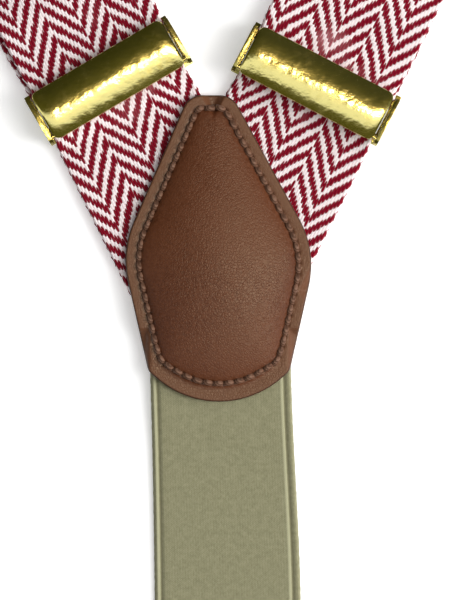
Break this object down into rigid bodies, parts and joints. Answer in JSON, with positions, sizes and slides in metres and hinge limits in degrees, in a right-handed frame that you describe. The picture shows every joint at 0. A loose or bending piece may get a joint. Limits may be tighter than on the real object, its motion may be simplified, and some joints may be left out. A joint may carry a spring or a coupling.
{
  "type": "suspenders",
  "caption": "Y-back suspenders with herringbone straps, lever adjusters, a padded leather yoke, an elastic back strap and leather button tabs.",
  "frame": {"origin": "the point where the left strap's centre line meets the yoke's centre line, on the underside of the yoke's back leather", "axes": "+Y from the yoke towards the front ends, +X to the side of the right strap, +Z out of the wearer's back and up from the table"},
  "size_m": [0.5419, 0.7699, 0.0088],
  "materials": {
    "woven_web": "woven herringbone, crimson on cream",
    "elastic": "woven elastic, matt olive",
    "leather": "smooth, low sheen",
    "lining_leather": "matt suede side",
    "leather_thread": "waxed thread",
    "web_thread": "matt thread",
    "padding": "felt",
    "brass": "polished, slightly aged"
  },
  "bodies": {
    "yoke": {"yoke_front_leather": "leather", "yoke_padding": "padding", "yoke_back_leather": "lining_leather", "yoke_stitching": "leather_thread", "left_strap_yoke_run": "woven_web", "right_strap_yoke_run": "woven_web", "back_elastic": "elastic"},
    "left_adjuster": {"left_adjuster_base": "brass", "left_adjuster_pin": "brass", "left_strap_adjuster_run": "woven_web", "left_strap_sewn_end": "woven_web", "left_strap_bar_tack": "web_thread"},
    "left_lever": {"left_adjuster_lever": "brass"},
    "left_strap_front": {"left_strap_front_run": "woven_web", "left_strap_return_run": "woven_web", "left_strap_end_loop": "woven_web"},
    "right_adjuster": {"right_adjuster_base": "brass", "right_adjuster_pin": "brass", "right_strap_adjuster_run": "woven_web", "right_strap_sewn_end": "woven_web", "right_strap_bar_tack": "web_thread"},
    "right_lever": {"right_adjuster_lever": "brass"},
    "right_strap_front": {"right_strap_front_run": "woven_web", "right_strap_return_run": "woven_web", "right_strap_end_loop": "woven_web"},
    "back_strap_end": {"back_elastic_end_loop": "elastic", "back_elastic_bar_tack": "web_thread"},
    "left_ring": {"left_ring": "brass"},
    "left_tab": {"left_tab_leather": "leather", "left_tab_lining": "lining_leather", "left_tab_stitching": "leather_thread"},
    "right_ring": {"right_ring": "brass"},
    "right_tab": {"right_tab_leather": "leather", "right_tab_lining": "lining_leather", "right_tab_stitching": "leather_thread"},
    "back_ring": {"back_ring": "brass"},
    "back_tab": {"back_tab_leather": "leather", "back_tab_lining": "lining_leather", "back_tab_stitching": "leather_thread"}
  },
  "joints": [
    {"name": "left_adjuster_slide", "type": "slide", "parent": "yoke", "child": "left_adjuster", "axis": [-0.4462, 0.8949, 0], "range_m": [0, 0.5], "deforming": ["left_strap_yoke_run"]},
    {"name": "left_strap_pull", "type": "slide", "parent": "left_adjuster", "child": "left_strap_front", "axis": [-0.4462, 0.8949, 0], "range_m": [-0.25, 0], "deforming": ["left_strap_front_run", "left_strap_return_run"]},
    {"name": "left_lever_hinge", "type": "hinge", "parent": "left_adjuster", "child": "left_lever", "pos_m": [-0.02315, 0.04719, 0.0059], "axis": [0.8616, 0.5075, 0], "range_deg": [0, 100]},
    {"name": "right_adjuster_slide", "type": "slide", "parent": "yoke", "child": "right_adjuster", "axis": [0.4462, 0.8949, 0], "range_m": [0, 0.5], "deforming": ["right_strap_yoke_run"]},
    {"name": "right_strap_pull", "type": "slide", "parent": "right_adjuster", "child": "right_strap_front", "axis": [0.4462, 0.8949, 0], "range_m": [-0.25, 0], "deforming": ["right_strap_front_run", "right_strap_return_run"]},
    {"name": "right_lever_hinge", "type": "hinge", "parent": "right_adjuster", "child": "right_lever", "pos_m": [0.02029, 0.04626, 0.0059], "axis": [0.887, -0.4617, 0], "range_deg": [0, 100]},
    {"name": "left_ring_swivel", "type": "hinge", "parent": "left_strap_front", "child": "left_ring", "pos_m": [-0.2231, 0.44747, 0.0028], "axis": [0.8949, 0.4462, 0], "range_deg": [-90, 90]},
    {"name": "left_tab_swivel", "type": "hinge", "parent": "left_ring", "child": "left_tab", "pos_m": [-0.22827, 0.45785, 0.0028], "axis": [0.8949, 0.4462, 0], "range_deg": [-90, 90]},
    {"name": "right_ring_swivel", "type": "hinge", "parent": "right_strap_front", "child": "right_ring", "pos_m": [0.22095, 0.44854, 0.0028], "axis": [0.8949, -0.4462, 0], "range_deg": [-90, 90]},
    {"name": "right_tab_swivel", "type": "hinge", "parent": "right_ring", "child": "right_tab", "pos_m": [0.22613, 0.45892, 0.0028], "axis": [0.8949, -0.4462, 0], "range_deg": [-90, 90]},
    {"name": "back_elastic_stretch", "type": "slide", "parent": "yoke", "child": "back_strap_end", "axis": [0, -1, 0], "range_m": [0, 0.06], "stiffness_N_per_m": 300, "deforming": ["back_elastic"]},
    {"name": "back_ring_swivel", "type": "hinge", "parent": "back_strap_end", "child": "back_ring", "pos_m": [0, -0.175, 0.0028], "axis": [-1, 0, 0], "range_deg": [-90, 90]},
    {"name": "back_tab_swivel", "type": "hinge", "parent": "back_ring", "child": "back_tab", "pos_m": [0, -0.1866, 0.0028], "axis": [-1, 0, 0], "range_deg": [-90, 90]}
  ],
  "couplings": [
    {"joint": "left_strap_pull", "follows": "left_adjuster_slide", "ratio": -0.5},
    {"joint": "right_strap_pull", "follows": "right_adjuster_slide", "ratio": -0.5}
  ]
}
